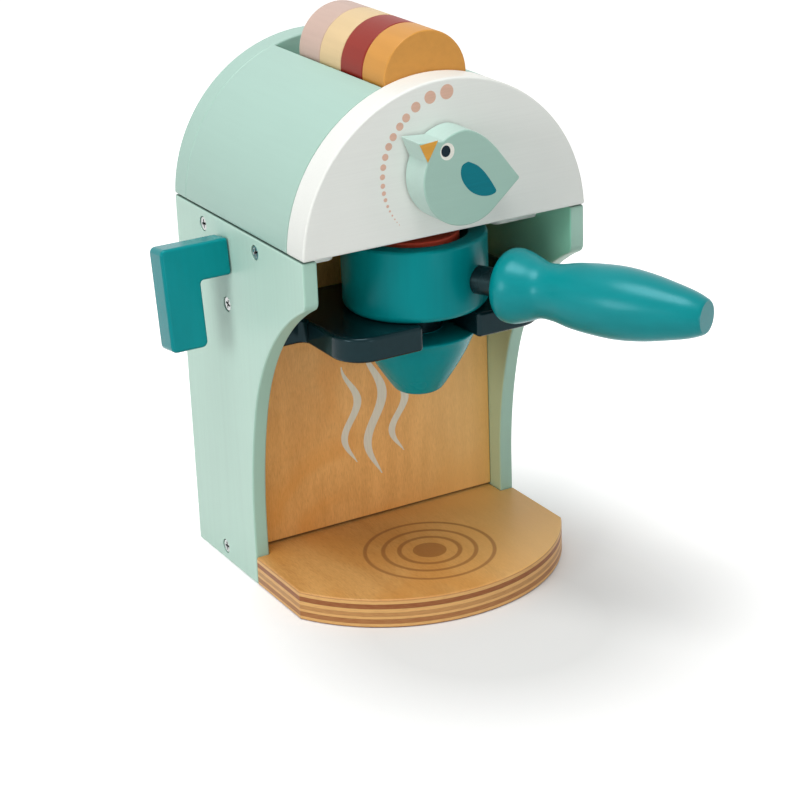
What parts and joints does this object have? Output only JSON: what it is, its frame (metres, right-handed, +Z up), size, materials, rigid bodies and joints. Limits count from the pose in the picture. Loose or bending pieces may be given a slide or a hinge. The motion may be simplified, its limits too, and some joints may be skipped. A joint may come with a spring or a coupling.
{
  "type": "toy coffee maker",
  "caption": "Wooden toy espresso machine: barrel-shaped housing with a pod hopper, a spouted bowl on a turned grip that slides into a fork, a side lever and a bird-shaped knob.",
  "frame": {"origin": "on the underside of the base, below the middle of the front panel's face", "axes": "+Z up, front towards -Y, the lever on the -X side"},
  "size_m": [0.2001, 0.2546, 0.2946],
  "materials": {
    "mint_paint": "satin mint-green paint on wood",
    "front_paint": "thin white paint with a faint grain, and a curved row of pink dots",
    "white_paint": "satin white paint on wood",
    "plywood": "clear satin varnish on plywood, with stained rings on top",
    "veneer": "clear satin varnish over upright grain, with a printed pattern",
    "navy_paint": "satin dark navy paint",
    "teal_paint": "satin teal paint",
    "stub_paint": "satin dark navy paint",
    "lever_paint": "satin teal paint",
    "knob_paint": "satin grey-green paint, printed as a bird",
    "screw_steel": "bright plated steel",
    "dowel_beech": "plain beech",
    "pod_mustard_paint": "satin mustard paint",
    "pod_maroon_paint": "satin maroon paint",
    "pod_cream_paint": "satin cream paint",
    "pod_pink_paint": "satin pink paint",
    "pod_red_paint": "satin coral-red paint"
  },
  "bodies": {
    "machine": {"base_board": "plywood", "left_side_panel": "mint_paint", "right_side_panel": "mint_paint", "left_shell": "mint_paint", "right_shell": "mint_paint", "back_board": "veneer", "collar_board": "white_paint", "holder_fork": "navy_paint", "front_panel": "front_paint", "rear_panel": "mint_paint", "hopper_floor": "mint_paint", "left_collar_front_screw": "screw_steel", "left_collar_rear_screw": "screw_steel", "left_back_board_screw": "screw_steel", "left_base_screw": "screw_steel", "left_fork_screw": "screw_steel", "left_housing_screw_front": "screw_steel", "left_housing_screw_rear": "screw_steel", "right_collar_front_screw": "screw_steel", "right_collar_rear_screw": "screw_steel", "right_back_board_screw": "screw_steel", "right_base_screw": "screw_steel", "right_fork_screw": "screw_steel", "right_housing_screw_front": "screw_steel", "right_housing_screw_rear": "screw_steel", "left_front_dowel": "dowel_beech", "left_rear_dowel": "dowel_beech", "right_front_dowel": "dowel_beech", "right_rear_dowel": "dowel_beech"},
    "pod_red": {"pod_red": "pod_red_paint"},
    "holder": {"holder_bowl": "teal_paint", "holder_spout": "teal_paint", "grip_stub": "stub_paint", "grip": "teal_paint"},
    "lever": {"lever_arm": "lever_paint", "lever_screw": "screw_steel"},
    "knob": {"knob": "knob_paint", "knob_screw": "screw_steel"},
    "pod_mustard": {"pod_mustard": "pod_mustard_paint"},
    "pod_maroon": {"pod_maroon": "pod_maroon_paint"},
    "pod_cream": {"pod_cream": "pod_cream_paint"},
    "pod_pink": {"pod_pink": "pod_pink_paint"}
  },
  "joints": [
    {"name": "holder_slide", "type": "slide", "parent": "machine", "child": "pod_red", "axis": [0, -1, 0], "range_m": [0, 0.09]},
    {"name": "holder_twist", "type": "hinge", "parent": "pod_red", "child": "holder", "pos_m": [0, 0.0345, 0.172], "axis": [0, 0, 1], "range_deg": [-67, 10]},
    {"name": "lever_turn", "type": "hinge", "parent": "machine", "child": "lever", "pos_m": [-0.08, 0.0871, 0.1796], "axis": [1, 0, 0], "continuous": true},
    {"name": "knob_turn", "type": "hinge", "parent": "machine", "child": "knob", "pos_m": [0, 0, 0.23], "axis": [0, 1, 0], "continuous": true},
    {"name": "pod_mustard_lift", "type": "slide", "parent": "machine", "child": "pod_mustard", "axis": [0, 0, 1], "range_m": [0, 0.05]},
    {"name": "pod_maroon_lift", "type": "slide", "parent": "machine", "child": "pod_maroon", "axis": [0, 0, 1], "range_m": [0, 0.05]},
    {"name": "pod_cream_lift", "type": "slide", "parent": "machine", "child": "pod_cream", "axis": [0, 0, 1], "range_m": [0, 0.05]},
    {"name": "pod_pink_lift", "type": "slide", "parent": "machine", "child": "pod_pink", "axis": [0, 0, 1], "range_m": [0, 0.05]}
  ]
}
